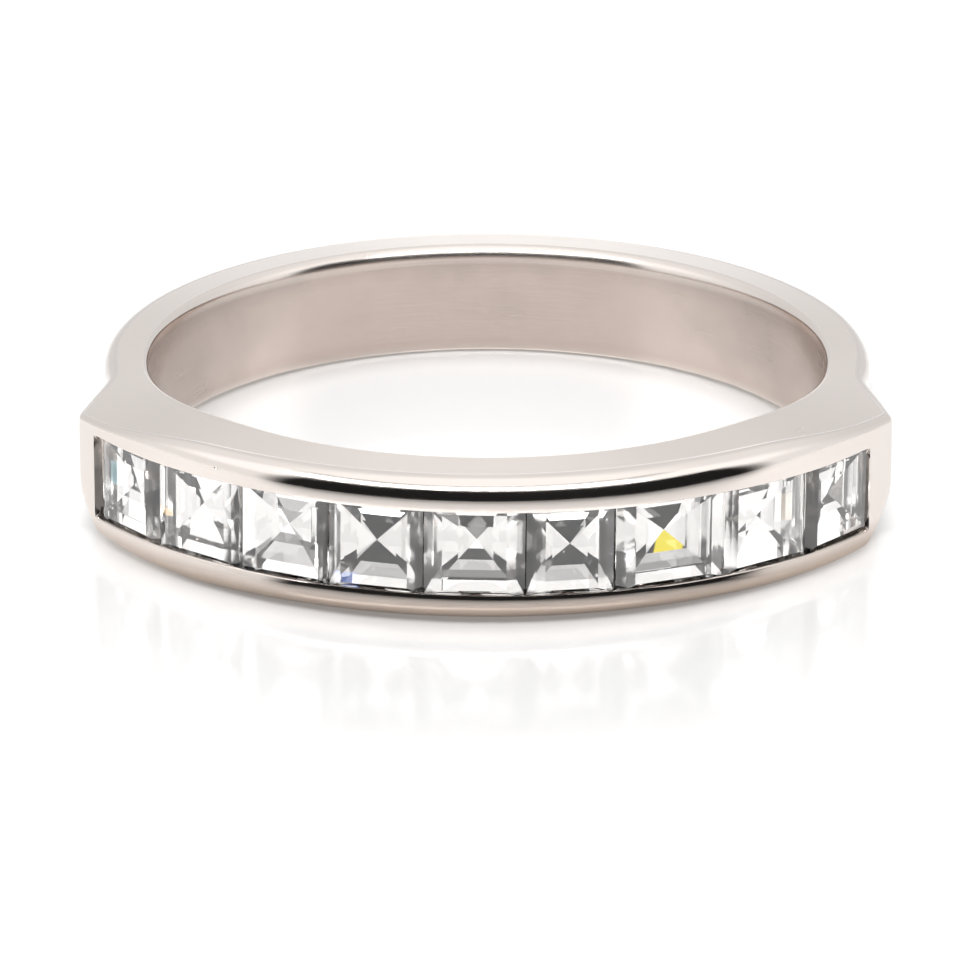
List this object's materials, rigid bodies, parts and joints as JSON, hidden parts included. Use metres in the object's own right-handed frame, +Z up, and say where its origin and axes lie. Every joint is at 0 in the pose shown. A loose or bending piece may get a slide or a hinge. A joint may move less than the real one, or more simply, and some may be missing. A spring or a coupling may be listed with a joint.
{
  "type": "half eternity ring",
  "caption": "Half eternity finger ring: polished white gold band with a wider head whose channel holds a row of square step-cut stones.",
  "frame": {"origin": "on the axis of the finger hole, in the plane of the head's lower side, which lies on the floor", "axes": "+Z up along the finger hole, -Y towards the head and its stones, +X to the right seen from the head"},
  "size_m": [0.02, 0.0202, 0.0036],
  "materials": {
    "white_gold": "polished 18 carat white gold",
    "diamond": "clear, faceted and polished"
  },
  "bodies": {
    "root": {"band": "white_gold", "stone_1": "diamond", "stone_2": "diamond", "stone_3": "diamond", "stone_4": "diamond", "stone_5": "diamond", "stone_6": "diamond", "stone_7": "diamond", "stone_8": "diamond", "stone_9": "diamond"}
  },
  "joints": []
}
